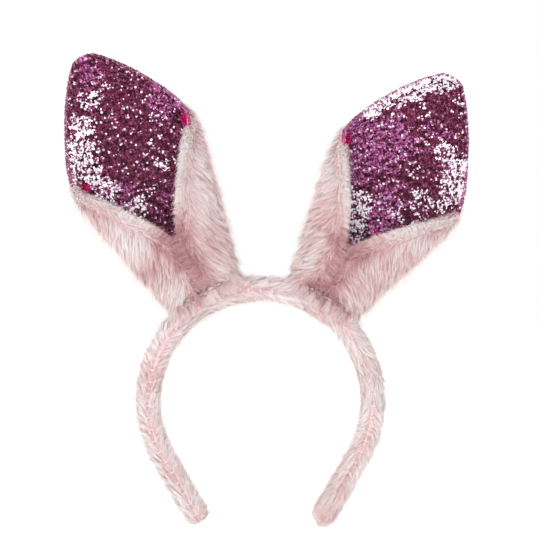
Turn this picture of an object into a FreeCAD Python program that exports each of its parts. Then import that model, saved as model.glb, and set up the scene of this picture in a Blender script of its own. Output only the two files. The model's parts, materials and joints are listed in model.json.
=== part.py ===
"""Plush bunny-ear headband: a sprung alice band in a fur sleeve, with two wired ears that tilt.

Frame: millimetres, +Z up, front facing -Y, so +X is on the right of a front view.
The origin is the centre of the arch, on the axis of the round space that grips the head.
"""

import FreeCAD
import Part

import math
import os

import Sketcher

Vector = FreeCAD.Vector
ACROSS_BAND = Vector(0, 1, 0)

# ---------------------------------------------------------------- driving dimensions

DIMENSIONS = {
    # arch and legs of the band
    "arch_radius": 65.5,
    "arch_half_angle": 120,
    "leg_length": 38,
    "core_width": 11,
    "core_depth": 2.2,
    "core_corner": 3.5,
    "core_end_gap": 3,
    # fur sleeve round the core, with its sewn seam along the front
    "sleeve_radius": 7.4,
    "sleeve_flat": 6.6,
    "sleeve_play": 0.15,
    "seam_gap": 0.4,
    "seam_stitch_turn": 22,
    "seam_stitch_pitch": 7,
    "seam_ear_gap": 24,
    "thread_radius": 0.25,
    "thread_play": 0.05,
    # layers of an ear, from the fur inwards
    "fur_depth": 4,
    "felt_depth": 1,
    "lining_depth": 0.5,
    "glitter_depth": 0.45,
    "layer_play": 0.2,
    "fur_inset": 0.8,
    "felt_inset": 2.5,
    "lining_inset": 0.6,
    "glitter_inset": 0.7,
    # section of an ear
    "root_half_width": 20,
    "root_half_depth": 6.6,
    "cup_half_depth": 14.5,
    "cup_forward": 5,
    "tip_forward": 2,
    "fold_gap": 2.6,
    "tip_cut": 1.5,
    "root_overlap": 3,
    # piping, wire and threads of an ear
    "piping_radius": 1.2,
    "piping_bore": 0.6,
    "wire_radius": 0.5,
    "piping_stand_off": 0.9,
    "topstitch_inset": 3.4,
    "topstitch_lift": 0.3,
    "topstitch_fold_gap": 10,
    "topstitch_tip_gap": 9,
    "topstitch_length": 3,
    "topstitch_pitch": 4.5,
    "fold_stitch_start": 4,
    "fold_stitch_length": 9,
    "fold_stitch_pitch": 6.5,
    # root of an ear on the band
    "saddle_play": 1,
    "binding_depth": 1,
    "binding_half_angle": 50,
    "binding_length": 34,
    "anchor_gap": 3,
    "anchor_turn": 38,
    "anchor_pitch": 8,
}

# heights are counted along the ear from the outside of the sleeve; the inner flank faces the crown
EARS = {
    "left": {"lean": 27.5, "fold": 34, "fold_shift": 0, "tip": 154.5, "tip_shift": 0,
             "inner_corner": 93, "inner_half": 41.5, "outer_corner": 84, "outer_half": 40},
    "right": {"lean": 31.5, "fold": 29, "fold_shift": 4.5, "tip": 148, "tip_shift": 2.5,
              "inner_corner": 84, "inner_half": 41.5, "outer_corner": 77, "outer_half": 41.5},
}
FOLD_STITCHES = 4
ANCHORS = 3

# how finely the curved parts of an ear are drawn
LEVELS = 31
SHARES = 29
EDGE_POINTS = 26
TOPSTITCH_POINTS = 120
CLOSEST_LEVELS = 0.5
TIP_INSET_SHARE = 1.6  # how much lower a layer ends at the tip for each millimetre of its inset
CORNER_SHARE = 0.45  # how much of the shorter run a rounded corner takes
PIPING_START = 3  # height at which the piping leaves the root

doc = FreeCAD.newDocument("AnimalEarsHeadband")
sheet = doc.addObject("Spreadsheet::Sheet", "Dimensions")


def fill_sheet():
    """Writes every driving dimension into the sheet, one row each."""
    rows = dict(DIMENSIONS)
    for side, sizes in EARS.items():
        rows.update({f"{side}_{name}": value for name, value in sizes.items()})
    for number, (alias, value) in enumerate(rows.items(), 1):
        sheet.set(f"A{number}", alias)
        sheet.set(f"B{number}", str(value))
        sheet.setAlias(f"B{number}", alias)
    doc.recompute()


def size(alias):
    """One driving dimension, read back from the sheet."""
    return float(getattr(sheet, alias))


fill_sheet()

# ---------------------------------------------------------------- band: section sketches, arch and legs


def section_sketch(body):
    """An empty sketch on the plane that cuts the crown: its X is across the band, its Y is outwards."""
    sketch = body.newObject("Sketcher::SketchObject", f"{body.Name}_section")
    planes = [feature for feature in body.Origin.OriginFeatures if feature.Role == "YZ_Plane"]
    sketch.AttachmentSupport = [(planes[0], "")]
    sketch.MapMode = "FlatFace"
    return sketch


def add_chain(sketch, geometry):
    """Adds lines and arcs and joins each one's end to the next one's start."""
    for piece in geometry:
        sketch.addGeometry(piece)
    count = len(geometry)
    for number in range(count):
        sketch.addConstraint(Sketcher.Constraint("Coincident", number, 2, (number + 1) % count, 1))


def level(sketch, kind, *numbers):
    for number in numbers:
        sketch.addConstraint(Sketcher.Constraint(kind, number))


def dimension(sketch, expression, kind, *reference):
    """A driven constraint whose value comes from the sheet, first set to what the geometry measures."""
    if kind == "Radius":
        value = sketch.Geometry[reference[0]].Radius
    else:
        first, last = [sketch.getPoint(*pair) for pair in (reference[:2], reference[2:])]
        value = last.x - first.x if kind == "DistanceX" else last.y - first.y
    number = sketch.addConstraint(Sketcher.Constraint(kind, *reference, value))
    sketch.setExpression(f"Constraints[{number}]", expression)


def straight(*ends):
    (first_x, first_y), (last_x, last_y) = ends
    return Part.LineSegment(Vector(first_x, first_y, 0), Vector(last_x, last_y, 0))


def polyline(points):
    return [straight(first, last) for first, last in zip(points, points[1:])]


def arch_and_legs(body, sketch, leg_length):
    """Turns a section into the arch, then pads its two end faces into the straight legs."""
    arch = body.newObject("PartDesign::Revolution", f"{body.Name}_arch")
    arch.Profile = sketch
    arch.ReferenceAxis = (sketch, ["H_Axis"])
    arch.Midplane = True
    arch.setExpression("Angle", "2 * Dimensions.arch_half_angle")
    doc.recompute()
    end_angle = math.radians(size("arch_half_angle"))
    last = arch
    for name, sign in (("left", -1), ("right", 1)):
        end = Vector(sign * math.sin(end_angle), 0, math.cos(end_angle)) * size("arch_radius")
        flats = [(face.CenterOfMass.sub(end).Length, number)
                 for number, face in enumerate(last.Shape.Faces, 1)
                 if isinstance(face.Surface, Part.Plane)]
        leg = body.newObject("PartDesign::Pad", f"{body.Name}_{name}_leg")
        leg.Profile = (last, [f"Face{min(flats)[1]}"])
        leg.setExpression("Length", leg_length)
        doc.recompute()
        last = leg
    return last


def band_place(distance):
    """A point on the band's centreline, the outward direction there, and the direction towards the right."""
    half_angle = math.radians(size("arch_half_angle"))
    radius = size("arch_radius")
    angle = max(-half_angle, min(half_angle, distance / radius))
    outward = Vector(math.sin(angle), 0, math.cos(angle))
    along = Vector(math.cos(angle), 0, -math.sin(angle))
    return outward * radius + along * (distance - angle * radius), outward, along


def arch_length():
    return math.radians(size("arch_half_angle")) * size("arch_radius")


def turned(origin, x_axis, y_axis):
    """A placement at origin whose own X and Y point along the two directions given."""
    z_axis = x_axis.cross(y_axis)
    matrix = FreeCAD.Matrix(x_axis.x, y_axis.x, z_axis.x, origin.x,
                            x_axis.y, y_axis.y, z_axis.y, origin.y,
                            x_axis.z, y_axis.z, z_axis.z, origin.z,
                            0, 0, 0, 1)
    return FreeCAD.Placement(matrix)


def make_band_core():
    """The moulded spring strip: a flat section, with the four corners of each end rounded."""
    body = doc.addObject("PartDesign::Body", "band_core")
    sketch = section_sketch(body)
    half_width = size("core_width") / 2
    inside = size("arch_radius") - size("core_depth") / 2
    outside = inside + size("core_depth")
    add_chain(sketch, polyline([(-half_width, inside), (half_width, inside), (half_width, outside),
                                (-half_width, outside), (-half_width, inside)]))
    level(sketch, "Horizontal", 0, 2)
    level(sketch, "Vertical", 1, 3)
    dimension(sketch, "Dimensions.core_width", "DistanceX", 0, 1, 0, 2)
    dimension(sketch, "Dimensions.core_width / 2", "DistanceX", -1, 1, 0, 2)
    dimension(sketch, "Dimensions.core_depth", "DistanceY", 1, 1, 1, 2)
    dimension(sketch, "Dimensions.arch_radius - Dimensions.core_depth / 2", "DistanceY", -1, 1, 0, 2)
    last = arch_and_legs(body, sketch, "Dimensions.leg_length - Dimensions.core_end_gap")
    lowest = min(vertex.Z for vertex in last.Shape.Vertexes) + size("core_width") / 2
    corners = [f"Edge{number}" for number, edge in enumerate(last.Shape.Edges, 1)
               if abs(edge.Length - size("core_depth")) < 0.01 and edge.CenterOfMass.z < lowest]
    rounding = body.newObject("PartDesign::Fillet", "core_ends")
    rounding.Base = (last, corners)
    rounding.setExpression("Radius", "Dimensions.core_corner")
    return body


def make_band_sleeve():
    """The fur sleeve: round outside, flat where it lies on the head, slit along the front where it is sewn."""
    body = doc.addObject("PartDesign::Body", "sleeve_tube")
    sketch = section_sketch(body)
    middle = size("arch_radius")
    radius = size("sleeve_radius")
    flat = size("sleeve_flat")
    chord = math.sqrt(radius ** 2 - flat ** 2)
    lip = size("seam_gap") / 2
    lip_out = math.sqrt(radius ** 2 - lip ** 2)
    wide = size("core_width") / 2 + size("sleeve_play")
    deep = size("core_depth") / 2 + size("sleeve_play")
    circle = Part.Circle(Vector(0, middle, 0), Vector(0, 0, 1), radius)
    inside = [(-lip_out, middle + lip), (-wide, middle + lip), (-wide, middle + deep), (wide, middle + deep),
              (wide, middle - deep), (-wide, middle - deep), (-wide, middle - lip), (-lip_out, middle - lip)]
    upper_arc = Part.ArcOfCircle(circle, -math.atan2(flat, chord), math.pi - math.asin(lip / radius))
    lower_arc = Part.ArcOfCircle(circle, math.pi + math.asin(lip / radius), math.pi + math.atan2(flat, chord))
    pressed = straight((-chord, middle - flat), (chord, middle - flat))
    add_chain(sketch, [upper_arc, *polyline(inside), lower_arc, pressed])
    level(sketch, "Horizontal", 1, 3, 5, 7, 9)
    level(sketch, "Vertical", 2, 4, 6)
    sketch.addConstraint(Sketcher.Constraint("PointOnObject", 0, 3, -2))
    sketch.addConstraint(Sketcher.Constraint("Coincident", 0, 3, 8, 3))
    dimension(sketch, "Dimensions.arch_radius", "DistanceY", -1, 1, 0, 3)
    dimension(sketch, "Dimensions.sleeve_radius", "Radius", 0)
    dimension(sketch, "Dimensions.core_width / 2 + Dimensions.sleeve_play", "DistanceX", -1, 1, 3, 2)
    dimension(sketch, "Dimensions.core_width + 2 * Dimensions.sleeve_play", "DistanceX", 3, 1, 3, 2)
    dimension(sketch, "Dimensions.core_depth / 2 + Dimensions.sleeve_play", "DistanceY", 0, 3, 3, 2)
    dimension(sketch, "Dimensions.core_depth + 2 * Dimensions.sleeve_play", "DistanceY", 4, 2, 4, 1)
    dimension(sketch, "Dimensions.seam_gap / 2", "DistanceY", 0, 3, 1, 1)
    dimension(sketch, "Dimensions.seam_gap / 2", "DistanceY", 7, 2, 0, 3)
    dimension(sketch, "Dimensions.sleeve_flat", "DistanceY", 9, 1, 0, 3)
    dimension(sketch, "Dimensions.core_width / 2 + Dimensions.sleeve_play", "DistanceX", 5, 2, -1, 1)
    arch_and_legs(body, sketch, "Dimensions.leg_length")
    whole = doc.addObject("Part::MultiFuse", "band_sleeve")
    whole.Shapes = [body] + [make_sleeve_end(sign) for sign in (-1, 1)]
    return whole


def make_sleeve_end(sign):
    """The gathered end of the sleeve, a half ball past the end of the leg."""
    end, outward, along = band_place(sign * (arch_length() + size("leg_length")))
    ball = doc.addObject("Part::Sphere", f"sleeve_end_{'left' if sign < 0 else 'right'}")
    ball.setExpression("Radius", "Dimensions.sleeve_radius")
    ball.Angle1 = 0
    ball.Placement = turned(end, outward, ACROSS_BAND * -sign)
    return ball


def make_seam_stitches():
    """Ladder stitches over the front seam, left out where the ears cover it."""
    reach = arch_length() + size("leg_length")
    pitch = size("seam_stitch_pitch")
    roots = [sign * math.radians(size(f"{side}_lean")) * size("arch_radius")
             for side, sign in (("left", -1), ("right", 1))]
    count = int(reach // pitch)
    stitches = []
    for number in range(-count, count + 1):
        distance = number * pitch
        if min(abs(distance - root) for root in roots) < size("seam_ear_gap"):
            continue
        middle, outward, along = band_place(distance)
        stitch = doc.addObject("Part::Torus", "seam_stitch")
        stitch.setExpression(
            "Radius1", "Dimensions.sleeve_radius + Dimensions.thread_radius + Dimensions.thread_play")
        stitch.setExpression("Radius2", "Dimensions.thread_radius")
        stitch.setExpression("Angle3", "Dimensions.seam_stitch_turn")
        start = math.radians(size("seam_stitch_turn") / 2)
        x_axis = ACROSS_BAND * -math.cos(start) - outward * math.sin(start)
        y_axis = outward * math.cos(start) - ACROSS_BAND * math.sin(start)
        stitch.Placement = turned(middle, x_axis, y_axis)
        stitches.append(stitch)
    group = doc.addObject("Part::Compound", "band_seam_stitches")
    group.Links = stitches
    return group


# ---------------------------------------------------------------- the ears' common shape


def blend(low, high, position):
    """A smooth change from 0 at low to 1 at high."""
    share = min(1.0, max(0.0, (position - low) / (high - low)))
    return share * share * (3 - 2 * share)


def towards_tip(first, last, count):
    """Heights from first to last that lie closer together towards the last."""
    return [first + (last - first) * math.sin(math.pi / 2 * number / (count - 1)) for number in range(count)]


class Ear:
    """The curved sheet that every layer of one ear follows.

    Each level of the ear is part of an ellipse, open to the front. A flank's turn is the angle from the
    middle of the back to its edge: nearly half a turn where the edges meet in the fold, a quarter turn at
    the corner, and less towards the tip.
    """

    OPENING_CURVE = 0.85
    WIDEST_OPENING = 0.98
    OUTLINE_ROUNDNESS = 1.3
    OUTLINE_POINT = 0.73
    DEPTH_AGAINST_WIDTH = 0.6
    TURN_LOST_AT_CORNER = 46
    TURN_LOST_AT_TIP = 15
    TURN_LENGTH = 35
    JUST_INSIDE = 0.98
    STEP = 0.2

    def __init__(self, side):
        self.side = side
        self.sign = -1 if side == "left" else 1
        lean = math.radians(size(f"{side}_lean"))
        self.up = Vector(self.sign * math.sin(lean), 0, math.cos(lean))
        self.inward = Vector(-self.sign * math.cos(lean), 0, math.sin(lean))
        self.hinge = self.up * size("arch_radius")
        self.root = self.up * (size("arch_radius") + size("sleeve_radius"))
        self.fold = size(f"{side}_fold")
        self.fold_shift = size(f"{side}_fold_shift")
        self.tip = size(f"{side}_tip")
        self.tip_shift = size(f"{side}_tip_shift")
        self.corner = {flank: size(f"{side}_{flank}_corner") for flank in ("inner", "outer")}
        self.corner_half = {flank: size(f"{side}_{flank}_half") for flank in ("inner", "outer")}

    def half_width(self, height, flank):
        """Half the ear's width at a height, measured to the sheet that carries the fur."""
        corner = self.corner[flank]
        widest = self.corner_half[flank]
        if height < corner:
            return size("root_half_width") + (widest - size("root_half_width")) * height / corner
        share = min(0.999, (height - corner) / (self.tip - corner))
        return widest * (1 - share ** self.OUTLINE_ROUNDNESS) ** self.OUTLINE_POINT

    def turn(self, height, flank):
        """The angle from the middle of the back to the flank's edge."""
        corner = self.corner[flank]
        width = self.half_width(height, flank)
        if height < corner:
            share = max(0.0, (height - self.fold) / (corner - self.fold)) ** self.OPENING_CURVE
            closed = size("fold_gap") + (self.fold_shift if flank == "inner" else -self.fold_shift)
            opening = closed + (self.WIDEST_OPENING * width - closed) * share
            return math.pi - math.asin(opening / width)
        start = math.pi - math.asin(self.WIDEST_OPENING)
        lost = (self.TURN_LOST_AT_CORNER * blend(corner, corner + self.TURN_LENGTH, height)
                + self.TURN_LOST_AT_TIP * blend(corner + self.TURN_LENGTH, self.tip, height))
        return start - math.radians(lost)

    def half_depth(self, height):
        deep = size("root_half_depth")
        deep += (size("cup_half_depth") - deep) * blend(self.fold / 3, self.corner["inner"], height)
        narrowing = min(1.0, self.half_width(height, "inner") / self.corner_half["inner"])
        return deep if height < self.corner["inner"] else deep * narrowing ** self.DEPTH_AGAINST_WIDTH

    def forward(self, height):
        """How far the middle of the section lies in front of the band's middle."""
        corner = self.corner["outer"]
        return (size("cup_forward") * blend(self.fold / 3, corner, height)
                + size("tip_forward") * blend(corner, self.tip, height))

    def point(self, height, share, offset, inset=0.0):
        """A point of the sheet. share runs from -1 at the outer edge to 1 at the inner edge, offset is
        outwards through the fur, and inset is how far the edge is cut back."""
        flank = "inner" if share >= 0 else "outer"
        turn = self.turn(height, flank)
        deep = self.half_depth(height)
        wide = self.half_width(height, flank) / math.sin(min(turn, math.pi / 2))
        edge_speed = math.hypot(wide * math.cos(turn), deep * math.sin(turn))
        turn -= inset / edge_speed
        normal_across = deep * math.sin(turn) / math.hypot(deep * math.sin(turn), wide * math.cos(turn))
        edge_sine = min(1.0, (wide * math.sin(turn) + offset * normal_across) / (wide + offset))
        edge = math.asin(edge_sine) if turn < math.pi / 2 else math.pi - math.asin(edge_sine)
        angle = abs(share) * edge
        across = (wide + offset) * math.sin(angle) * (1 if share >= 0 else -1)
        across += self.tip_shift * blend(self.corner["outer"], self.tip, height)
        back = (deep + offset) * math.cos(angle) - self.forward(height)
        return self.root + self.up * height + self.inward * across + ACROSS_BAND * back

    def edge_frame(self, height, share):
        """A point on the edge, the direction out of the edge within the sheet, and the way the fur faces."""
        here = self.point(height, share, 0)
        above = self.point(height + self.STEP, share, 0)
        along = above.sub(self.point(height - self.STEP, share, 0)).normalize()
        within = here.sub(self.point(height, share * self.JUST_INSIDE, 0))
        out = within.sub(along * within.dot(along)).normalize()
        facing = along.cross(out) * (self.sign * math.copysign(1, share))
        return here, out, facing

    def edge_line(self, share, heights, stand_off, offset):
        """Points beside one edge, one for each height."""
        points = []
        for height in heights:
            here, out, facing = self.edge_frame(height, share)
            points.append(here + out * stand_off + facing * offset)
        return points


# ---------------------------------------------------------------- solids that follow an ear


def knots(count, degree):
    """Knots and multiplicities of a spline that starts on its first pole and ends on its last."""
    spans = count - degree
    return list(range(spans + 1)), [degree + 1] + [1] * (spans - 1) + [degree + 1]


def skin(grid):
    """A smooth face whose poles are a grid of points, straight across when the grid is two points wide."""
    counts = (len(grid), len(grid[0]))
    degrees = [min(3, count - 1) for count in counts]
    (u_knots, u_mults), (v_knots, v_mults) = [knots(*pair) for pair in zip(counts, degrees)]
    surface = Part.BSplineSurface()
    surface.buildFromPolesMultsKnots(grid, u_mults, v_mults, u_knots, v_knots, False, False, *degrees)
    return surface.toShape()


def sheet_solid(ear, low, high, inset):
    """A layer of an ear between two offsets, from the root to just short of the tip."""
    crest = ear.tip - size("tip_cut")
    top = crest - TIP_INSET_SHARE * inset
    heights = [height for height in towards_tip(-size("root_overlap"), crest, LEVELS)
               if height < top - CLOSEST_LEVELS] + [top]
    shares = [-1 + 2 * number / (SHARES - 1) for number in range(SHARES)]
    inside, outside = [[[ear.point(height, share, offset, inset) for share in shares] for height in heights]
                       for offset in (low, high)]
    faces = [skin(inside), skin(outside)]
    for end in (0, -1):
        faces.append(skin([inside[end], outside[end]]))
        faces.append(skin([[row[end] for row in inside], [row[end] for row in outside]]))
    shell = Part.makeShell(faces)
    shell.sewShape()
    solid = Part.makeSolid(Part.Shell(shell.Faces))
    if solid.Volume < 0:
        solid.reverse()
    return solid.cut(saddle(ear)).Solids[0]


def saddle(ear):
    """The round space about the hinge line that an ear's root leaves free, past its binding."""
    radius = size("sleeve_radius") + size("saddle_play") + size("binding_depth") + size("layer_play")
    length = 2 * size("binding_length")
    start = ear.hinge - ear.inward * (length / 2)
    return Part.makeCylinder(radius, length, start, ear.inward)


def rounded_path(points):
    """Straight runs through the points, joined by tangent arcs as large as the runs allow."""
    edges = []
    last = points[0]
    for before, corner, after in zip(points, points[1:], points[2:]):
        to_before = before.sub(corner)
        to_after = after.sub(corner)
        back = CORNER_SHARE * min(to_before.Length, to_after.Length)
        to_before.normalize()
        to_after.normalize()
        half_turn = (math.pi - to_before.getAngle(to_after)) / 2
        start = corner + to_before * back
        end = corner + to_after * back
        towards = (to_before + to_after).normalize()
        radius = back / math.tan(half_turn)
        middle = corner + towards * (radius / math.cos(half_turn) - radius)
        edges.append(Part.LineSegment(last, start).toShape())
        edges.append(Part.Arc(start, middle, end).toShape())
        last = end
    edges.append(Part.LineSegment(last, points[-1]).toShape())
    return Part.Wire(edges)


def rod(path, radius):
    """A round rod along a path."""
    start = path.Edges[0].Vertexes[0].Point
    direction = path.Edges[0].tangentAt(path.Edges[0].FirstParameter)
    circle = Part.Wire(Part.makeCircle(radius, start, direction))
    return path.makePipeShell([circle], True, True)


def bar(middle, direction, length, radius):
    """A short straight thread centred on a point."""
    start = middle - direction * (length / 2)
    return Part.makeCylinder(radius, length, start, direction)


def feature(label, shape):
    """Puts a finished shape into the document under its own name."""
    item = doc.addObject("Part::Feature", label)
    item.Shape = shape
    item.Placement = FreeCAD.Placement()
    return item


def edge_path(ear):
    """The path of the piping and its wire, just outside the edge of the layers."""
    stand_off = size("piping_stand_off")
    offset = -(size("felt_depth") + size("lining_depth")) / 2
    heights = towards_tip(PIPING_START, ear.tip - 2 * size("tip_cut"), EDGE_POINTS)
    outer, inner = [ear.edge_line(share, heights, stand_off, offset) for share in (-1, 1)]
    crest = ear.point(ear.tip - size("tip_cut"), 0, offset) + ear.up * stand_off
    return rounded_path(outer + [crest] + inner[::-1])


def make_ear_layers(ear):
    """The fur back, the felt that stiffens it, the lining, and the glitter laid on the lining."""
    play = size("layer_play")
    piping_room = rod(edge_path(ear), size("piping_radius") + play / 2)
    felt_top = -play
    lining_top = felt_top - size("felt_depth") - play
    glitter_top = lining_top - size("lining_depth") - play / 2
    name = f"ear_{ear.side}"
    return [
        feature(f"{name}_fur_back",
                sheet_solid(ear, 0, size("fur_depth"), size("fur_inset")).cut(piping_room).Solids[0]),
        feature(f"{name}_felt", sheet_solid(ear, felt_top - size("felt_depth"), felt_top, size("felt_inset"))),
        feature(f"{name}_lining", sheet_solid(ear, lining_top - size("lining_depth"), lining_top,
                                              size("lining_inset"))),
        feature(f"{name}_glitter", sheet_solid(ear, glitter_top - size("glitter_depth"), glitter_top,
                                               size("glitter_inset"))),
    ]


def make_ear_edge(ear):
    """The piping round the edge, with the wire inside it."""
    path = edge_path(ear)
    piping = rod(path, size("piping_radius")).cut(rod(path, size("piping_bore")))
    name = f"ear_{ear.side}"
    return [feature(f"{name}_piping", piping), feature(f"{name}_wire", rod(path, size("wire_radius")))]


def make_topstitches(ear):
    """The row of stitches inside the edge of the glitter, from the fold round to the fold."""
    depth = (size("felt_depth") + size("lining_depth") + size("glitter_depth") + 2.5 * size("layer_play")
             + size("thread_radius") + size("topstitch_lift"))
    heights = towards_tip(ear.fold + size("topstitch_fold_gap"), ear.tip - size("topstitch_tip_gap"),
                          TOPSTITCH_POINTS)
    stitches = []
    for share in (-1, 1):
        row = [ear.point(height, share, -depth, size("topstitch_inset")) for height in heights]
        travelled = 0.0
        due = 0.0
        for before, after in zip(row, row[1:]):
            travelled += after.sub(before).Length
            if travelled >= due:
                direction = after.sub(before).normalize()
                stitches.append(bar(after, direction, size("topstitch_length"), size("thread_radius")))
                due = travelled + size("topstitch_pitch")
    return feature(f"ear_{ear.side}_topstitches", Part.makeCompound(stitches))


def make_fold_stitches(ear):
    """Bars of thread that hold the two flanks together in front, below the opening."""
    bars = []
    for number in range(FOLD_STITCHES):
        height = size("fold_stitch_start") + number * size("fold_stitch_pitch")
        front = ear.half_depth(height) + ear.forward(height) + size("fur_depth") / 2
        middle = ear.root + ear.up * height + ear.inward * ear.fold_shift - ACROSS_BAND * front
        bars.append(bar(middle, ear.inward, size("fold_stitch_length"), size("thread_radius")))
    return feature(f"ear_{ear.side}_fold_stitches", Part.makeCompound(bars))


def make_root_binding(ear):
    """The bound lower edge of the ear, which rides on the sleeve."""
    inside = size("sleeve_radius") + size("saddle_play")
    outside = inside + size("binding_depth")
    length = size("binding_length")
    half_angle = math.radians(size("binding_half_angle"))
    start = ear.hinge - ear.inward * (length / 2)
    edges = [ear.up * math.cos(angle) + ACROSS_BAND * math.sin(angle) for angle in (-half_angle, half_angle)]
    corners = [[start + edge * radius for edge in edges] for radius in (inside, outside)]
    arcs = [Part.Arc(low, start + ear.up * radius, high).toShape()
            for (low, high), radius in zip(corners, (inside, outside))]
    ends = [Part.LineSegment(corners[0][end], corners[1][end]).toShape() for end in (0, 1)]
    section = Part.Face(Part.Wire(Part.__sortEdges__(arcs + ends)))
    return feature(f"ear_{ear.side}_root_binding", section.extrude(ear.inward * length))


def make_anchor_stitches(ear):
    """Threads that run from the binding down the front and back of the sleeve."""
    radius = size("sleeve_radius") + size("saddle_play") / 2 + size("thread_radius")
    turn = math.radians(size("anchor_turn"))
    start = math.radians(size("binding_half_angle") + size("anchor_gap"))
    threads = []
    for number in range(ANCHORS):
        middle = ear.hinge + ear.inward * (size("anchor_pitch") * (number - (ANCHORS - 1) / 2))
        for side in (-1, 1):
            points = [middle + (ear.up * math.cos(angle) + ACROSS_BAND * (side * math.sin(angle))) * radius
                      for angle in (start, start + turn / 2, start + turn)]
            path = Part.Wire([Part.Arc(*points).toShape()])
            threads.append(rod(path, size("thread_radius")))
    return feature(f"ear_{ear.side}_anchor_stitches", Part.makeCompound(threads))


# ---------------------------------------------------------------- assembly, checks and files

nodes = [make_band_core(), make_band_sleeve(), make_seam_stitches()]
for side in EARS:
    ear = Ear(side)
    nodes += make_ear_layers(ear)
    nodes += make_ear_edge(ear)
    nodes += [make_topstitches(ear), make_fold_stitches(ear), make_root_binding(ear), make_anchor_stitches(ear)]
for node in nodes:
    node.Label = node.Name
doc.recompute()

for item in doc.Objects:
    if "Invalid" in item.State or "Error" in item.State:
        raise RuntimeError(f"{item.Name} did not compute: {item.State}")
os.makedirs("parts", exist_ok=True)
for node in nodes:
    if node.Shape.isNull() or not node.Shape.isValid() or node.Shape.Volume <= 0:
        raise RuntimeError(f"{node.Label} is not a sound solid")
    node.Shape.exportStep(f"parts/{node.Label}.step")
    print(f"{node.Label}: {len(node.Shape.Solids)} solids, {node.Shape.Volume / 1000:.2f} cm3")
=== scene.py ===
"""The looks of a plush bunny-ear headband: long-pile fur, chunky glitter, piping and stitching.

Every strand of fur and every glitter flake is real geometry. Both grow from the surfaces of the
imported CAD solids, so they follow the frame wherever it goes. Lengths are in millimetres times MM.
"""

import json
import math

import bpy
import numpy as np
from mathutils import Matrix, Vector
from mathutils.bvhtree import BVHTree
from mathutils.kdtree import KDTree


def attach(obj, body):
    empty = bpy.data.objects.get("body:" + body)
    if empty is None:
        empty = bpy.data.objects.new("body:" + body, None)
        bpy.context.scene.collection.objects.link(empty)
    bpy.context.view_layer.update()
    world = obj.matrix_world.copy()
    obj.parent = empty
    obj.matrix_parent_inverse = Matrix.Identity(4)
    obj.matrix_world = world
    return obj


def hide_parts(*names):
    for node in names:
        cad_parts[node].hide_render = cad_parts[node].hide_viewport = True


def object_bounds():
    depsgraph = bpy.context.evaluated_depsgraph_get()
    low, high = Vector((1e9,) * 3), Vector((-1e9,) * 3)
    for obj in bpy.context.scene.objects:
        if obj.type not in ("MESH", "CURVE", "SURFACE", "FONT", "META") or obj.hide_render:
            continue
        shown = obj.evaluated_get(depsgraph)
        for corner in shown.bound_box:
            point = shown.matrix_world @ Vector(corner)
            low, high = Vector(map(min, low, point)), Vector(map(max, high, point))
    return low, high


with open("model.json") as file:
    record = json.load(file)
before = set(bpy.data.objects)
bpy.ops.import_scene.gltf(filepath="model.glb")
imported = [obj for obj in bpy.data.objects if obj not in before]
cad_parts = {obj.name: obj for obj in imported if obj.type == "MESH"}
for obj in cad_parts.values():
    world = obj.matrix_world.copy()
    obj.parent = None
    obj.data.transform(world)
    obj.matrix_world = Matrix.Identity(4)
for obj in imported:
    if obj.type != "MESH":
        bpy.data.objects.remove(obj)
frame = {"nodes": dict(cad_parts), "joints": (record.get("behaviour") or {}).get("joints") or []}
cad_low, cad_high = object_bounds()

MM = 0.001
CAD = frame["nodes"]
SIDES = {"left": -1, "right": 1}

# the camera: a long lens at the height of the ears' roots, square on to the front
VIEW_WIDTH = 316.3 * MM
VIEW_CENTRE = Vector((5.0, 0, 77.6)) * MM
LENS = 100
SENSOR = 36
FLOOR_GLOW = 0.7

# the band's line, as in the CAD: an arch about the origin, then two straight legs
EAR_HINGES = {side: Vector(next(joint["pos_m"] for joint in frame["joints"] if joint["child"] == f"ear_{side}"))
              for side in SIDES}
ARCH_RADIUS = EAR_HINGES["left"].length
ARCH_HALF_ANGLE = math.radians(120)
LEG_LENGTH = 38 * MM
SLEEVE_RADIUS = 7.4 * MM
CORE_HALF_WIDTH = 5.5 * MM
CORE_CLEARANCE = 0.7 * MM

# fur: skins lie inside the CAD's fur solids, and the strands reach their outside
BAND_SKIN_DEPTH = 1.6 * MM
EAR_SKIN_DEPTH = 2.8 * MM
FUR_TONES = 16
STRAND_ROWS = 4
STRAND_WIDTH = 0.17 * MM
STRAND_TAPER = np.array([0.45, 0.5, 0.38, 0.06])
STRAND_CLEARANCE = 0.4 * MM
BAND_STRANDS = 62000
EAR_STRANDS = 80000
RIM_STRANDS_PER_MM2 = 9
ROOT_STRANDS_PER_MM2 = 15

# each ear: where the fold ends and where its corners are, as heights above the sleeve, how far round
# the nap sweeps, in degrees, and the back cloth's flat size (width, length)
EARS = {
    "left": {"fold": 34 * MM, "corner": 88 * MM, "sweep": 30, "flat": (134 * MM, 155 * MM)},
    "right": {"fold": 29 * MM, "corner": 80 * MM, "sweep": 68, "flat": (132 * MM, 148 * MM)},
}
# the other layers of each ear, (width, length) before they were folded together
LAYER_FLATS = {
    "left": {"felt": (110 * MM, 149 * MM), "lining": (107 * MM, 151 * MM), "glitter": (103 * MM, 151 * MM)},
    "right": {"felt": (109 * MM, 143 * MM), "lining": (107 * MM, 145 * MM), "glitter": (103 * MM, 145 * MM)},
}

# glitter, and the widest gap between the cloth's edge and the piping that flakes bridge
FLAKE_CORNERS = 6
PALETTE_COLUMNS = 16
FLAKES_PER_MM2 = 1.5
EDGE_FLAKES_PER_MM2 = 1.3
WIDEST_GAP = 2.8 * MM

# the sockets of a colour mix node
MIX_FIRST, MIX_SECOND, MIX_RESULT = 6, 7, 2


# ---------------------------------------------------------------- small helpers on arrays of points


def unit(vectors):
    return vectors / np.maximum(np.linalg.norm(vectors, axis=1, keepdims=True), 1e-12)


def dot(first, second):
    return (first * second).sum(axis=1, keepdims=True)


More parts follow.
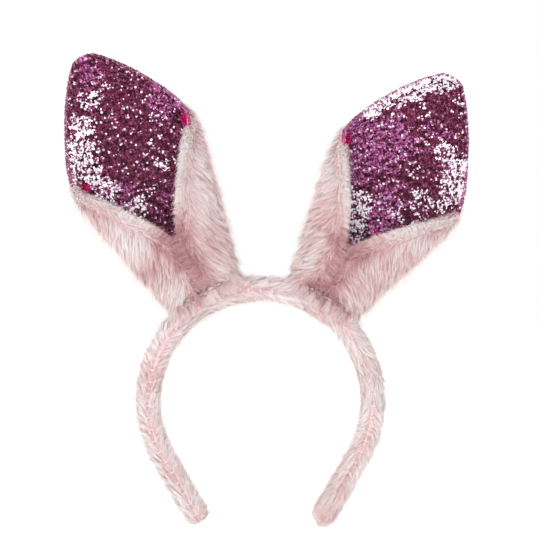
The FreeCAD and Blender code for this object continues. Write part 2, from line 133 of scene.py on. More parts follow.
def flattened(vectors, normals):
    """The vectors' parts that lie in the surface, as unit vectors."""
    return unit(vectors - dot(vectors, normals) * normals)


def smooth(low, high, values):
    share = np.clip((values - low) / (high - low), 0, 1)
    return share * share * (3 - 2 * share)


def ripples(points, length, seed, waves=14):
    """A smooth random field, roughly -1 to 1, whose bumps are about length across."""
    rng = np.random.default_rng(seed)
    ways = unit(rng.normal(size=(waves, 3)))
    rates = 2 * math.pi / (length * rng.uniform(1.3, 3.2, waves))
    phases = rng.uniform(0, 2 * math.pi, waves)
    return np.sin(points @ (ways * rates[:, None]).T + phases).sum(axis=1) / math.sqrt(waves / 2) / 1.6


def as_vector(direction):
    return np.array(direction, float).reshape(1, 3)


# ---------------------------------------------------------------- reading the CAD solids


def triangles_of(node):
    mesh = CAD[node].data
    mesh.calc_loop_triangles()
    corners = np.empty(3 * len(mesh.loop_triangles), np.int32)
    mesh.loop_triangles.foreach_get("vertices", corners)
    places = np.empty(3 * len(mesh.vertices), np.float32)
    mesh.vertices.foreach_get("co", places)
    return places.reshape(-1, 3).astype(float)[corners].reshape(-1, 3, 3)


def crosses_of(triangles):
    return np.cross(triangles[:, 1] - triangles[:, 0], triangles[:, 2] - triangles[:, 0])


def area_of(triangles):
    return float(np.linalg.norm(crosses_of(triangles), axis=1).sum() / 2)


def tree_of(triangles):
    count = len(triangles)
    return BVHTree.FromPolygons(triangles.reshape(-1, 3).tolist(),
                                np.arange(3 * count).reshape(-1, 3).tolist())


def tree_of_piece(piece):
    mesh = piece.data
    return BVHTree.FromPolygons([vertex.co for vertex in mesh.vertices],
                                [polygon.vertices[:] for polygon in mesh.polygons])


def nearest(tree, points):
    """For each point the nearest place on the tree's surface, its normal, and how far it is."""
    found = [tree.find_nearest(point) for point in points.tolist()]
    places = np.array([place for place, normal, number, far in found])
    normals = np.array([normal for place, normal, number, far in found])
    return places, normals, np.array([far for place, normal, number, far in found])


def scatter(triangles, count, rng):
    """Random points spread evenly over the triangles, and the surface's normals there."""
    start = triangles[:, 0]
    sides = triangles[:, 1:] - triangles[:, :1]
    crosses = np.cross(sides[:, 0], sides[:, 1])
    areas = np.linalg.norm(crosses, axis=1)
    picked = np.searchsorted(np.cumsum(areas), rng.uniform(0, areas.sum(), count))
    picked = np.minimum(picked, len(triangles) - 1)
    first, second = rng.uniform(size=(2, count, 1))
    folded = first + second > 1
    first = np.where(folded, 1 - first, first)
    second = np.where(folded, 1 - second, second)
    points = start[picked] + first * sides[picked, 0] + second * sides[picked, 1]
    return points, unit(crosses[picked])


def up_of(side):
    return as_vector(EAR_HINGES[side].normalized())


def ear_places(side, points):
    """Heights above the sleeve, and distances across towards the crown, in an ear's own directions."""
    up = up_of(side)
    inward = as_vector((-SIDES[side] * up[0, 2], 0, SIDES[side] * up[0, 0]))
    return dot(points, up)[:, 0] - ARCH_RADIUS - SLEEVE_RADIUS, dot(points, inward)[:, 0]


# ---------------------------------------------------------------- making pieces


def new_piece(name, points, loops, corners, body, material):
    """A mesh object whose faces all have the same number of corners, riding on a body."""
    mesh = bpy.data.meshes.new(name)
    mesh.vertices.add(len(points))
    mesh.vertices.foreach_set("co", points.astype(np.float32).ravel())
    mesh.loops.add(len(loops))
    mesh.loops.foreach_set("vertex_index", loops.astype(np.int32))
    faces = len(loops) // corners
    mesh.polygons.add(faces)
    mesh.polygons.foreach_set("loop_start", np.arange(0, len(loops), corners, dtype=np.int32))
    mesh.update(calc_edges=True)
    mesh.validate()
    mesh.materials.append(material)
    piece = bpy.data.objects.new(name, mesh)
    bpy.context.scene.collection.objects.link(piece)
    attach(piece, body)
    return piece


def add_map(piece, loops, places):
    """The UV map that materials use, from one place for each vertex."""
    layer = piece.data.uv_layers.new(name="OFBake")
    layer.data.foreach_set("uv", places[loops].astype(np.float32).ravel())


# ---------------------------------------------------------------- the band's own directions


def band_frame(points):
    """For each point: the nearest place on the band's line, and the outward and lengthwise directions."""
    angle = np.clip(np.arctan2(points[:, 0], points[:, 2]), -ARCH_HALF_ANGLE, ARCH_HALF_ANGLE)[:, None]
    zero = np.zeros_like(angle)
    outward = np.hstack([np.sin(angle), zero, np.cos(angle)])
    along = np.hstack([np.cos(angle), zero, -np.sin(angle)])
    line = outward * ARCH_RADIUS
    on_leg = np.abs(angle) > ARCH_HALF_ANGLE - 1e-9
    past = np.where(on_leg, np.clip(dot(points - line, along), -LEG_LENGTH, LEG_LENGTH), 0)
    return line + past * along, outward, along


def clear_of_band(points):
    """The points, with those that would be inside the sleeve moved straight out to its surface."""
    line = band_frame(points)[0]
    far = np.linalg.norm(points - line, axis=1, keepdims=True)
    free = SLEEVE_RADIUS + STRAND_CLEARANCE
    return np.where(far < free, line + (points - line) * free / np.maximum(far, 1e-6), points)


def skin_of(triangles, depth, name, body, material):
    """The cloth that fur grows from: the outside of a fur solid, moved in by depth."""
    corners = triangles.reshape(-1, 3)
    keys, index = np.unique(np.round(corners / (0.002 * MM)).astype(np.int64), axis=0, return_inverse=True)
    index = index.ravel()
    places = np.zeros((len(keys), 3))
    places[index] = corners
    crosses = crosses_of(triangles)
    normals = np.zeros((len(keys), 3))
    for corner in range(3):
        np.add.at(normals, index.reshape(-1, 3)[:, corner], crosses)
    whole = np.array([len(set(face)) == 3 for face in index.reshape(-1, 3).tolist()])
    loops = index.reshape(-1, 3)[whole].ravel()
    piece = new_piece(name, places - unit(normals) * depth, loops, 3, body, material)
    piece.data.shade_smooth()
    return piece


# ---------------------------------------------------------------- fur


def fur_piece(name, body, skin_tree, roots, normals, lays, lengths, tones, heights, rng, material,
              steep=55, flat=14, clump=13, gather=0.55, custom=0.4, stray=0.16, varied=0.1, comb=True):
    """Strands as tapered ribbons: they rise from the skin, lie down along lays, and gather into locks.

    heights is how far the pile stands off the skin at the strands' tips, steep and flat are their
    angles to the skin at the root and at the tip, clump is how many strands share one lock, and
    stray is the share of finer strands that stand out of the pile and soften its outline.
    """
    count = len(roots)
    strays = rng.uniform(size=count) < stray
    lengths = lengths * np.where(strays, rng.uniform(0.9, 1.3, count), 1)[:, None]
    heights = heights * np.where(strays, rng.uniform(1.3, 2.1, count), rng.uniform(0.5, 1.3, count))
    shares = np.linspace(0, 1, STRAND_ROWS)
    steps = np.diff(shares)
    angles = np.radians(flat + (steep - flat) * (1 - (shares[1:] + shares[:-1]) / 2) ** 2)
    places = [roots]
    for step, angle in zip(steps, angles):
        places.append(places[-1] + lengths * step * (lays * math.cos(angle) + normals * math.sin(angle)))
    places = np.stack(places, axis=1)

    # combing: a row that has drifted off the curved skin is laid back to its own height over it
    facing = np.repeat(normals[:, None], STRAND_ROWS, axis=1)
    for row in range(1, STRAND_ROWS if comb else 1):
        near, out, far = nearest(skin_tree, places[:, row])
        lift = places[:, row] - near
        over = dot(lift, out)[:, 0]
        inside = np.abs(np.abs(over) - far) < 0.25 * np.maximum(far, 0.2 * MM)
        wanted = heights * math.sin(math.pi / 2 * shares[row])
        places[:, row] = np.where(inside[:, None], near + out * wanted[:, None], places[:, row])
        facing[:, row] = np.where(inside[:, None], out, facing[:, row])

    # locks: each strand leans towards the strand in the middle of its lock, most at the tip
    leaders = rng.choice(count, max(1, count // clump), replace=False)
    tree = KDTree(len(leaders))
    for number, leader in enumerate(leaders.tolist()):
        tree.insert(roots[leader], number)
    tree.balance()
    lock = np.array([tree.find(root)[1] for root in roots.tolist()])
    mine = leaders[lock]
    tones = tones + rng.normal(0, varied, len(leaders))[lock]
    crown = rng.uniform(-0.35, 0.5, len(leaders))[lock] * heights
    pull = gather * rng.uniform(0.3, 1.2, count)[:, None] * np.where(strays, 0.2, 1)[:, None]
    for row in range(1, STRAND_ROWS):
        towards = places[mine, row] - places[:, row]
        reach = np.linalg.norm(towards, axis=1, keepdims=True)
        towards *= np.minimum(1, 3 * MM / np.maximum(reach, 1e-9))
        places[:, row] += towards * pull * shares[row] ** 1.4 \
            + facing[:, row] * (crown * shares[row])[:, None]

    if body != "band":
        for row in range(STRAND_ROWS):
            places[:, row] = clear_of_band(places[:, row])

    # ribbons: flat side out, each with a twist of its own, tapering to the tip
    ways = np.gradient(places, axis=1)
    ways /= np.maximum(np.linalg.norm(ways, axis=2, keepdims=True), 1e-12)
    across = np.cross(ways, facing)
    across /= np.maximum(np.linalg.norm(across, axis=2, keepdims=True), 1e-12)
    out = np.cross(across, ways)
    twist = rng.normal(0, 0.6, count)[:, None, None]
    across, out = across * np.cos(twist) + out * np.sin(twist), out * np.cos(twist) - across * np.sin(twist)
    widths = STRAND_WIDTH * rng.uniform(0.7, 1.25, count) * np.where(strays, 0.6, 1)
    taper = STRAND_TAPER[None, :, None] * widths[:, None, None]
    edges = np.stack([places - across * taper, places + across * taper], axis=2)
    points = edges.reshape(-1, 3)

    base = np.arange(count)[:, None, None] * (2 * STRAND_ROWS) \
        + np.arange(STRAND_ROWS - 1)[None, :, None] * 2
    loops = (base + np.array([0, 1, 3, 2])[None, None]).ravel()
    piece = new_piece(name, points, loops, 4, body, material)

    column = np.clip((tones * FUR_TONES).astype(int), 0, FUR_TONES - 1)
    left = (column + 0.15) / FUR_TONES
    right = (column + 0.85) / FUR_TONES
    sides = np.stack([left, right], axis=1)[:, None, :].repeat(STRAND_ROWS, axis=1)
    rows = np.broadcast_to((0.02 + 0.96 * shares)[None, :, None], sides.shape)
    add_map(piece, loops, np.stack([sides, rows], axis=3).reshape(-1, 2))
    soft = unit((facing * custom + out * (1 - custom)).reshape(-1, 3))
    normals_here = np.repeat(soft.reshape(count, STRAND_ROWS, 1, 3), 2, axis=2).reshape(-1, 3)
    piece.data.shade_smooth()
    piece.data.normals_split_custom_set_from_vertices(normals_here.tolist())


def band_fur(skin_tree, triangles, strands, material):
    """The nap runs one way along the whole sleeve, and parts at the seam along its front."""
    rng = np.random.default_rng(11)
    outside, normals = scatter(triangles, strands, rng)
    roots = outside - normals * BAND_SKIN_DEPTH
    line, outward, along = band_frame(outside)
    radial = unit(outside - line)
    front = as_vector((0, -1, 0))
    from_front = np.arccos(np.clip(dot(radial, front), -1, 1))
    away = flattened(radial - front, normals)
    parting = np.exp(-(from_front / 1.1) ** 2) * (1 - 0.8 * np.exp(-(from_front / 0.4) ** 2))
    spread = np.radians(10 + 22 * parting) + 0.45 * ripples(outside, 14 * MM, 21)[:, None]
    lays = along * np.cos(spread) + away * np.sin(spread)
    to_ear = np.min([np.linalg.norm(outside - np.array(hinge), axis=1)
                     for hinge in EAR_HINGES.values()], axis=0)
    lap = smooth(25 * MM, 19 * MM, to_ear)[:, None] * smooth(-0.2, 0.3, dot(radial, outward))
    lays = flattened(lays * (1 - 0.6 * lap) + outward * 0.6 * lap, normals)
    wave = ripples(outside, 9 * MM, 22)
    lengths = (6.6 * MM * (1 + 0.12 * wave + rng.uniform(-0.22, 0.22, strands)))[:, None]
    seam = np.exp(-(from_front[:, 0] / 0.12) ** 2)
    tones = 0.66 + 0.13 * ripples(outside, 15 * MM, 23) + 0.09 * wave + rng.normal(0, 0.06, strands) \
        - 0.1 * seam - 0.12 * lap[:, 0]
    heights = np.where(dot(radial, outward)[:, 0] < 0, 1.6 * MM, 2.3 * MM) \
        + 0.7 * MM * (from_front[:, 0] < 0.35)
    left = outside[:, 0] < 0
    for name, mine in (("band_fur_left", left), ("band_fur_right", ~left)):
        fur_piece(name, "band", skin_tree, roots[mine], normals[mine], lays[mine], lengths[mine],
                  tones[mine], heights[mine], rng, material, clump=20, gather=0.6, varied=0.06)


def ear_fur(side, skin_tree, rim_tree, triangles, strands, material):
    """The nap runs towards the root and sweeps away from the rim.

    Along the lower rim it leans out over the piping.
    """
    rng = np.random.default_rng(31 + SIDES[side])
    ear = EARS[side]
    outside, normals = scatter(triangles, strands, rng)
    roots = outside - normals * EAR_SKIN_DEPTH
    height, across = ear_places(side, outside)
    rim, ignored, far = nearest(rim_tree, outside)
    away = flattened(outside - rim, normals)
    down = flattened(-np.repeat(up_of(side), strands, axis=0), normals)

    over = smooth(6 * MM, 2.5 * MM, far) * smooth(0, 6 * MM, height)
    upper = smooth(ear["corner"] - 5 * MM, ear["corner"] + 5 * MM, height)
    root = smooth(9 * MM, 2 * MM, height)
    crease = smooth(8 * MM, 2.5 * MM, far) * smooth(ear["fold"] + 22 * MM, ear["fold"], height)
    turn = np.radians(ear["sweep"]) * np.exp(-far / (30 * MM)) * (1 - 0.8 * root) * (1 - 0.6 * crease)
    turn = (turn + 0.25 * ripples(outside, 16 * MM, 41))[:, None]
    swept = down * np.cos(turn) + away * np.sin(turn)
    lean = (over * (1 - 0.55 * root) * (1 - upper))[:, None]
    lays = flattened(swept * (1 - lean) + (0.35 * down - away) * lean, normals)

    wave = ripples(outside, 8 * MM, 42)
    lower_length = 7.0 + 0.8 * smooth(2 * MM, 10 * MM, far) + 2.2 * root
    upper_length = 3.0 + 4.0 * smooth(3 * MM, 11 * MM, far)
    lengths = lower_length * (1 - upper) + upper_length * upper
    lengths = (MM * lengths * (1 + 0.1 * wave + rng.uniform(-0.22, 0.22, strands)))[:, None]
    heights = 3.0 * MM * (1 - 0.3 * root) * (1 - 0.45 * upper * smooth(8 * MM, 2 * MM, far))
    # painted shade: the pile is darker in the crease along the fold, where shade falls
    tones = 0.5 + 0.15 * ripples(outside, 20 * MM, 43) + 0.07 * wave + rng.normal(0, 0.06, strands) \
        - 0.26 * np.exp(-np.maximum(height, 0) / (10 * MM)) - 0.5 * crease \
        + 0.12 * over * (1 - upper) * (1 - crease)
    inner, front = across > 0, outside[:, 1] < 0
    for flank, on_flank in (("inner", inner), ("outer", ~inner)):
        for face, on_face in (("front", front), ("back", ~front)):
            mine = on_flank & on_face
            fur_piece(f"ear_{side}_fur_{flank}_{face}", f"ear_{side}", skin_tree, roots[mine], normals[mine],
                      lays[mine], lengths[mine], tones[mine], heights[mine], rng, material)


def rim_fur(side, skin_tree, rim_tree, triangles, material):
    """The pile along the lower edges of the opening and down the fold, which rolls round the piping."""
    rng = np.random.default_rng(51 + SIDES[side])
    ear = EARS[side]
    heights_here = ear_places(side, triangles.mean(axis=1))[0]
    triangles = triangles[heights_here < ear["corner"] + 1 * MM]
    count = int(area_of(triangles) / MM ** 2 * RIM_STRANDS_PER_MM2)
    roots, normals = scatter(triangles, count, rng)
    height = ear_places(side, roots)[0]
    away = unit(nearest(skin_tree, roots)[0] - roots)
    down = -np.repeat(up_of(side), count, axis=0)
    lays = flattened(down - 0.3 * away + rng.normal(0, 0.55, (count, 3)), normals)
    by_corner = smooth(ear["corner"] - 10 * MM, ear["corner"], height)
    lengths = MM * rng.uniform(3.6, 6.6, count) * (1 - 0.35 * by_corner)
    crease = smooth(ear["fold"] + 22 * MM, ear["fold"] + 2 * MM, height)
    # painted shade: the rim's pile is darker in the crease along the fold
    tones = 0.66 + 0.1 * ripples(roots, 12 * MM, 52) + rng.normal(0, 0.08, count) - 0.66 * crease
    fur_piece(f"ear_{side}_fur_rim", f"ear_{side}", rim_tree, roots, normals, lays, lengths[:, None], tones,
              1.7 * MM * (1 - 0.4 * crease), rng, material)


def root_fur(side, triangles, material):
    """The pile that hangs from the root over the joint, back and front."""
    rng = np.random.default_rng(56 + SIDES[side])
    count = int(area_of(triangles) / MM ** 2 * ROOT_STRANDS_PER_MM2)
    roots, normals = scatter(triangles, count, rng)
    outward = normals[:, 1] * np.sign(roots[:, 1]) > -0.3
    roots, normals, count = roots[outward], normals[outward], int(outward.sum())
    up = up_of(side)
    hinge = as_vector(EAR_HINGES[side])
    level = roots - dot(roots, up) * up
    facing = unit(level - hinge + dot(hinge, up) * up)
    front = unit(facing * (0.5, 1.6, 0.5))
    lays = flattened(-np.repeat(up, count, axis=0) + 0.35 * rng.normal(size=(count, 3)), front)
    tones = 0.4 + 0.12 * ripples(roots, 9 * MM, 57) + rng.normal(0, 0.08, count)
    lengths = (MM * rng.uniform(5.0, 10.5, count))[:, None]
    fur_piece(f"ear_{side}_fur_root", f"ear_{side}", tree_of(triangles), roots, front, lays, lengths, tones,
              2.0 * MM * np.ones(count), rng, material, steep=50, flat=4, comb=False)


# ---------------------------------------------------------------- glitter

# glitter tones, from nearly black plum to nearly white, and the mixes of them that the ears show; the whitest
# tone, and the mix and patches named for it, are painted highlights where the flakes catch the light
TONES = {
    "black": (34, 2, 16), "dark": (70, 12, 38), "maroon": (104, 32, 62), "magenta": (196, 0, 96),
    "mauve": (134, 66, 100), "purple": (166, 88, 148), "lilac": (200, 138, 186), "pale": (226, 196, 218),
    "painted_highlight": (252, 246, 252),
}
MIXES = {
    "plum": {"black": 21, "dark": 19, "maroon": 33, "mauve": 20, "purple": 2, "lilac": 1, "pale": 1, "painted_highlight": 3},
    "lilac": {"black": 14, "dark": 3, "maroon": 6, "mauve": 20, "purple": 40, "lilac": 12, "pale": 2, "painted_highlight": 3},
    "painted_highlight": {"black": 11, "maroon": 7, "mauve": 4, "lilac": 9, "pale": 13, "painted_highlight": 56},
    # glow: pale lilac flakes beside the fur, painted reflection of the fur's light on the glitter
    "glow": {"mauve": 14, "purple": 30, "lilac": 38, "pale": 18},
    "magenta": {"magenta": 84, "dark": 8, "maroon": 8},
    "edge": {"maroon": 24, "mauve": 26, "lilac": 24, "pale": 18, "painted_highlight": 8},
}

# where each mix lies on an ear: (across towards the crown, height above the sleeve, radius, strength), in mm; the
# patches of the whitest mix are painted highlights, along the sides where light catches the glitter
PATCHES = {
    "left": {
        "lilac": [(33, 111, 10, 0.8), (-22, 70, 14, 0.7), (-32, 92, 12, 0.6), (0, 141, 8, 0.5), (8, 60, 8, 0.4)],
        "painted_highlight": [(-19, 119, 7, 0.85), (-26, 107, 8, 0.9), (-29, 95, 8, 0.85), (-24, 78, 8, 0.75),
                  (-13, 62, 7, 0.75), (-8, 130, 6, 0.6), (12, 78, 4, 0.5), (22, 104, 4, 0.4)],
        "magenta": [(-35.5, 85, 3.6, 1.0), (38, 93.5, 3.6, 1.0)],
    },
    "right": {
        "lilac": [(18, 97, 17, 0.95), (34, 92, 9, 0.8), (-4, 56, 11, 0.95), (-2, 70, 9, 0.7), (24, 74, 12, 0.8),
                  (-8, 112, 10, 0.5)],
        "painted_highlight": [(35, 108, 5.5, 1), (30, 116, 6, 1), (24, 124, 6.5, 1), (18, 131, 6.5, 1), (12, 138, 6, 1),
                  (6, 143, 6, 0.9), (-18, 108, 7, 0.7), (-26, 104, 8, 0.9), (-33, 93, 9, 0.9), (-21, 76, 7, 0.55),
                  (7, 46, 8, 0.95), (10, 57, 7, 0.85), (-30, 80, 5, 0.6), (-12, 64, 4, 0.5)],
        "magenta": [(37, 83, 4.2, 1.0), (-38.5, 76, 3.6, 0.9), (-9, 47, 2.6, 0.6)],
    },
}
TONE_NAMES = list(TONES)


def chances(mix):
    weights = np.array([MIXES[mix].get(tone, 0) for tone in TONE_NAMES], float)
    return weights / weights.sum()


def patch_tones(side, points, edge, glow, rng):
    """A tone for each flake: the plum mix, with the ear's patches laid over it.

    edge and glow are the shares of the mixes for the piping and for beside the fur; the glow mix is painted
    reflection of the pale fur's light on the glitter.
    """
    height, across = ear_places(side, points)
    ragged = 0.22 * ripples(points, 5 * MM, 71)
    table = np.repeat(chances("plum")[None], len(points), axis=0)
    for mix, patches in PATCHES[side].items():
        for centre, level, radius, strength in patches:
            far = np.hypot(across - centre * MM, height - level * MM) / (radius * MM)
            share = (strength * smooth(1.3, 0.8, far + ragged))[:, None]
            table = table * (1 - share) + chances(mix)[None] * share
    # lilac and whitest patches scattered at random; the whitest ones are painted sparkle highlights
    for mix, length, strength in (("lilac", 12 * MM, 0.4), ("painted_highlight", 6 * MM, 0.3)):
        share = (strength * smooth(0.8, 1.2, ripples(points, length, 72)))[:, None]
        table = table * (1 - share) + chances(mix)[None] * share
    table = table * (1 - edge) + chances("edge")[None] * edge
    table = table * (1 - glow) + chances("glow")[None] * glow
    clustered = 0.72 * 1.6 * ripples(points, 1.3 * MM, 73) + 0.69 * rng.normal(size=len(points))
    drawn = 0.5 + 0.5 * np.array([math.erf(value / math.sqrt(2)) for value in clustered.tolist()])[:, None]
    return np.minimum((np.cumsum(table, axis=1) < drawn).sum(axis=1), len(TONE_NAMES) - 1)


def flakes(name, side, places, normals, tones, radius, tilt, rng, material):
    """Hexagonal flakes, each lying at a tilt of its own."""
    count = len(places)
    facing = unit(normals + rng.normal(0, tilt, (count, 3)))
    first = flattened(unit(rng.normal(size=(count, 3))), facing)
    second = np.cross(facing, first)
    sizes = radius * rng.uniform(0.6, 1.25, count)[:, None, None]
    turns = np.arange(FLAKE_CORNERS) * 2 * math.pi / FLAKE_CORNERS
    ring = (first[:, None] * np.cos(turns)[None, :, None]
            + second[:, None] * np.sin(turns)[None, :, None]) * sizes
    points = (places[:, None] + ring).reshape(-1, 3)
    loops = np.arange(count * FLAKE_CORNERS)
    piece = new_piece(name, points, loops, FLAKE_CORNERS, f"ear_{side}", material)
    middle = ((tones + 0.5) / PALETTE_COLUMNS)[:, None]
    spots = np.stack([middle + 0.3 / PALETTE_COLUMNS * np.cos(turns),
                      0.5 + 0.4 * np.sin(turns) + 0 * middle], axis=2)
    add_map(piece, loops, spots.reshape(-1, 2))


def ear_glitter(side, rim_tree, material):
    """Flakes over the front of the glitter cloth, along the upper piping, and in the gap between them."""
    rng = np.random.default_rng(61 + SIDES[side])
    lining = tree_of(triangles_of(f"ear_{side}_lining"))
    cloth = triangles_of(f"ear_{side}_glitter")
    far = nearest(lining, cloth.mean(axis=1))[2]
    shown = cloth[far > 0.45 * MM]
    count = int(area_of(shown) / MM ** 2 * FLAKES_PER_MM2)
    places, normals = scatter(shown, count, rng)
    lift = rng.uniform(0.12, 0.5, (count, 1)) * MM
    # beside the fur the flakes take the glow mix, a painted reflection of the fur's light
    by_fur = smooth(5.5 * MM, 2.5 * MM, nearest(rim_tree, places)[2]) \
        * (ear_places(side, places)[0] < EARS[side]["corner"])
    flakes(f"ear_{side}_flakes", side, places + normals * lift, normals,
           patch_tones(side, places, 0, 0.7 * by_fur[:, None], rng), 0.62 * MM, 0.28, rng, material)
    piping = triangles_of(f"ear_{side}_piping")
    piping = piping[ear_places(side, piping.mean(axis=1))[0] > EARS[side]["corner"] - 6 * MM]
    count = int(area_of(piping) / MM ** 2 * EDGE_FLAKES_PER_MM2)
    places, normals = scatter(piping, count, rng)
    flakes(f"ear_{side}_edge_flakes", side, places + normals * 0.1 * MM, normals,
           patch_tones(side, places, 0.08, 0, rng), 0.42 * MM, 0.35, rng, material)

    # flakes that bridge the gap between the cloth's edge and the piping
    count *= 4
    places, normals = scatter(piping, count, rng)
    edges, ignored, far = nearest(tree_of(cloth), places)
    places += (edges - places) * rng.uniform(0, 1.2, (count, 1))
    places = places[far < WIDEST_GAP]
    front = np.repeat(as_vector((0, -1, 0)), len(places), axis=0)
    places = places + front * rng.uniform(0, 0.3 * MM, (len(places), 1))
    flakes(f"ear_{side}_gap_flakes", side, places, front, patch_tones(side, places, 0, 0, rng),
           0.5 * MM, 0.3, rng, material)


# ---------------------------------------------------------------- materials


def linear(red, green, blue):
    """An sRGB colour from 0 to 255 as the linear colour that shaders take."""
    values = [channel / 255 for channel in (red, green, blue)]
    return [value / 12.92 if value <= 0.04045 else ((value + 0.055) / 1.055) ** 2.4 for value in values] + [1]


def new_material(name, roughness, sheen=0.0, metallic=0.0, specular=0.5):
    material = bpy.data.materials.new(name)
    material.use_nodes = True
    shader = material.node_tree.nodes["Principled BSDF"]
    shader.inputs["Roughness"].default_value = roughness
    shader.inputs["Metallic"].default_value = metallic
    shader.inputs["Specular IOR Level"].default_value = specular
    shader.inputs["Sheen Weight"].default_value = sheen
    shader.inputs["Sheen Roughness"].default_value = 0.4
    return material, material.node_tree.nodes, material.node_tree.links, shader


def ramp(nodes, stops, steps=False):
    node = nodes.new("ShaderNodeValToRGB")
    colours = node.color_ramp
    colours.interpolation = "CONSTANT" if steps else "LINEAR"
    while len(colours.elements) < len(stops):
        colours.elements.new(0.5)
    for element, (position, colour) in zip(colours.elements, stops):
        element.position = position
        element.color = linear(*colour)
    return node


def fur_material():
    """Each strand has a tone of its own, and every strand is darker dusty pink at its root and pale at its tip;
    the darkening at the root is painted shade deep in the pile.
    """
    material, nodes, links, shader = new_material("fur", 0.8, sheen=0.15, specular=0.2)
    place = nodes.new("ShaderNodeUVMap")
    place.uv_map = "OFBake"
    split = nodes.new("ShaderNodeSeparateXYZ")
    links.new(place.outputs["UV"], split.inputs[0])
    tone = ramp(nodes, [(0.0, (186, 136, 142)), (0.3, (224, 193, 193)), (0.6, (233, 225, 223)),
                        (1.0, (243, 241, 240))])
    # painted shade: darker towards the strands' roots, deep in the pile
    shade = ramp(nodes, [(0.0, (218, 188, 192)), (0.4, (246, 238, 238)), (1.0, (255, 255, 255))])
    mix = nodes.new("ShaderNodeMix")
    mix.data_type = "RGBA"
    mix.blend_type = "MULTIPLY"
    mix.inputs["Factor"].default_value = 1
    links.new(split.outputs["X"], tone.inputs[0])
    links.new(split.outputs["Y"], shade.inputs[0])
    links.new(tone.outputs[0], mix.inputs[MIX_FIRST])
    links.new(shade.outputs[0], mix.inputs[MIX_SECOND])
    links.new(mix.outputs[MIX_RESULT], shader.inputs["Base Color"])
    return material


def flake_material():
    material, nodes, links, shader = new_material("glitter_flakes", 0.4, specular=0.12)
    place = nodes.new("ShaderNodeUVMap")
    place.uv_map = "OFBake"
    split = nodes.new("ShaderNodeSeparateXYZ")
    palette = ramp(nodes, [(number / PALETTE_COLUMNS, colour) for number, colour in enumerate(TONES.values())],
                   steps=True)
    links.new(place.outputs["UV"], split.inputs[0])
    links.new(split.outputs["X"], palette.inputs[0])
    links.new(palette.outputs[0], shader.inputs["Base Color"])
    return material


def speckled(name, stops, grain, roughness, bump=0.0, steps=False, **finish):
    """A material whose colour and relief vary from grain to grain."""
    material, nodes, links, shader = new_material(name, roughness, **finish)
    place = nodes.new("ShaderNodeTexCoord")
    cells = nodes.new("ShaderNodeTexVoronoi")
    cells.inputs["Scale"].default_value = 1 / grain
    colours = ramp(nodes, stops, steps)
    links.new(place.outputs["Object"], cells.inputs["Vector"])
    split = nodes.new("ShaderNodeSeparateColor")
    links.new(cells.outputs["Color"], split.inputs[0])
    links.new(split.outputs[0], colours.inputs[0])
    links.new(colours.outputs[0], shader.inputs["Base Color"])
    if bump:
        relief = nodes.new("ShaderNodeBump")
        relief.inputs["Strength"].default_value = bump
        relief.inputs["Distance"].default_value = grain / 3
        links.new(split.outputs[1], relief.inputs["Height"])
        links.new(relief.outputs[0], shader.inputs["Normal"])
    return material


def cloudy(name, low, high, grain, roughness, bump=0.0, stretch=(1, 1, 1), **finish):
    """A material that drifts between two colours, with fine relief."""
    material, nodes, links, shader = new_material(name, roughness, **finish)
    place = nodes.new("ShaderNodeTexCoord")
    mapping = nodes.new("ShaderNodeMapping")
    mapping.inputs["Scale"].default_value = stretch
    noise = nodes.new("ShaderNodeTexNoise")
    noise.inputs["Scale"].default_value = 1 / grain
    noise.inputs["Detail"].default_value = 4
    colours = ramp(nodes, [(0.35, low), (0.65, high)])
    links.new(place.outputs["Object"], mapping.inputs["Vector"])
    links.new(mapping.outputs[0], noise.inputs["Vector"])
    links.new(noise.outputs[0], colours.inputs[0])
    links.new(colours.outputs[0], shader.inputs["Base Color"])
    if bump:
        relief = nodes.new("ShaderNodeBump")
        relief.inputs["Strength"].default_value = bump
        relief.inputs["Distance"].default_value = grain / 4
        links.new(noise.outputs[0], relief.inputs["Height"])
        links.new(relief.outputs[0], shader.inputs["Normal"])
    return material


def paint(node, material):
    """Gives a CAD node its finished material."""
    slots = CAD[node].material_slots
    if not slots:
        CAD[node].data.materials.append(material)
    for slot in slots:
        slot.material = material


# ---------------------------------------------------------------- building the object

fur = fur_material()
flake = flake_material()
skin = cloudy("skin", (228, 192, 195), (240, 212, 213), 3 * MM, 0.9, bump=0.3, sheen=0.2)
thread = cloudy("thread", (226, 194, 196), (240, 214, 214), 0.3 * MM, 0.6, bump=0.4, sheen=0.2)
dark_thread = cloudy("dark_thread", (92, 36, 62), (120, 58, 86), 0.3 * MM, 0.6, bump=0.4)

CAD_FINISHES = {
    "core": cloudy("core", (214, 204, 200), (226, 218, 214), 6 * MM, 0.38, bump=0.05),
    "felt": cloudy("felt", (104, 44, 72), (134, 66, 96), 0.8 * MM, 0.95, bump=0.6, sheen=0.3),
    "lining": cloudy("lining", (132, 60, 92), (160, 86, 116), 0.5 * MM, 0.7, bump=0.4, sheen=0.2),
    "glitter": speckled("glitter_cloth", [(0, TONES["black"]), (0.25, TONES["dark"]), (0.55, TONES["maroon"]),
                                          (0.9, TONES["mauve"])],
                        0.45 * MM, 0.4, bump=0.8, steps=True, specular=0.15),
    "piping": speckled("piping", [(0, (92, 34, 62)), (0.4, (122, 58, 90)), (0.8, (168, 110, 146))],
                       0.5 * MM, 0.45, bump=0.5),
    "wire": cloudy("wire", (92, 38, 64), (118, 58, 86), 0.5 * MM, 0.4),
    "root_binding": cloudy("binding", (222, 184, 188), (236, 204, 206), 0.6 * MM, 0.85, bump=0.5, sheen=0.2),
}
for part in CAD:
    for ending, material in CAD_FINISHES.items():
        if part.endswith(ending):
            paint(part, material)
    if part.endswith("stitches"):
        paint(part, dark_thread if part.endswith("topstitches") else thread)

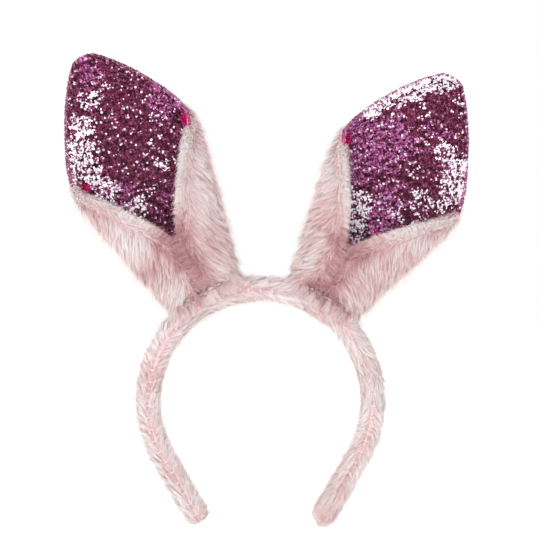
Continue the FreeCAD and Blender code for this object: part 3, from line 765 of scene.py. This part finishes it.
sleeve = triangles_of("band_sleeve")
middles = sleeve.mean(axis=1)
crosses = unit(crosses_of(sleeve))
radial = middles - band_frame(middles)[0]
far_out = np.linalg.norm(radial, axis=1) > CORE_HALF_WIDTH + CORE_CLEARANCE
sleeve = sleeve[far_out & (dot(unit(radial), crosses)[:, 0] > 0.7)]
band_skin = skin_of(sleeve, BAND_SKIN_DEPTH, "band_skin", "band", skin)
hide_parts("band_sleeve")


band_fur(tree_of_piece(band_skin), sleeve, BAND_STRANDS, fur)

for side in SIDES:
    back = triangles_of(f"ear_{side}_fur_back")
    lining_tree = tree_of(triangles_of(f"ear_{side}_lining"))
    middles = back.mean(axis=1)
    crosses = unit(crosses_of(back))
    back = back[dot(unit(middles - nearest(lining_tree, middles)[0]), crosses)[:, 0] > 0.5]
    piece = skin_of(back, EAR_SKIN_DEPTH, f"ear_{side}_skin", f"ear_{side}", skin)
    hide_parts(f"ear_{side}_fur_back")
    for layer, flat in LAYER_FLATS[side].items():
        node = f"ear_{side}_{layer}"
        area_of(triangles_of(node)) / 2
    rim_tree = tree_of(triangles_of(f"ear_{side}_piping"))
    cloth_tree = tree_of_piece(piece)
    ear_fur(side, cloth_tree, rim_tree, back, EAR_STRANDS, fur)
    rim_fur(side, cloth_tree, rim_tree, triangles_of(f"ear_{side}_piping"), fur)
    root_fur(side, triangles_of(f"ear_{side}_root_binding"), fur)
    ear_glitter(side, rim_tree, flake)

# ---------------------------------------------------------------- floor, lights and camera


def add_floor():
    bpy.ops.mesh.primitive_plane_add(size=6, location=(0, 0, cad_low.z - 1.5 * MM))
    floor = bpy.context.object
    floor.name = "floor"
    pale = cloudy("floor", (246, 246, 246), (250, 250, 250), 0.5, 0.9)
    glow = pale.node_tree.nodes["Principled BSDF"].inputs
    glow["Emission Color"].default_value = (1, 1, 1, 1)
    glow["Emission Strength"].default_value = FLOOR_GLOW
    floor.data.materials.append(pale)


def add_area(name, place, size, power):
    light = bpy.data.lights.new(name, "AREA")
    light.shape = "DISK"
    light.size = size
    light.energy = power
    lamp = bpy.data.objects.new(name, light)
    lamp.location = place
    lamp.rotation_euler = (VIEW_CENTRE - Vector(place)).to_track_quat("-Z", "Y").to_euler()
    bpy.context.scene.collection.objects.link(lamp)


def add_world():
    world = bpy.data.worlds.new("studio")
    bpy.context.scene.world = world
    world.use_nodes = True
    world.node_tree.nodes["Background"].inputs[0].default_value = (1, 1, 1, 1)
    world.node_tree.nodes["Background"].inputs[1].default_value = 1.0


def add_camera():
    data = bpy.data.cameras.new("camera")
    data.lens = LENS
    data.sensor_width = SENSOR
    camera = bpy.data.objects.new("camera", data)
    camera.location = VIEW_CENTRE - Vector((0, VIEW_WIDTH * LENS / SENSOR, 0))
    camera.rotation_euler = (math.pi / 2, 0, 0)
    bpy.context.scene.collection.objects.link(camera)
    bpy.context.scene.camera = camera


add_floor()
add_world()
add_area("key", (-0.45, -1.1, 0.8), 0.9, 8)
add_camera()
bpy.context.scene.view_settings.view_transform = "Standard"
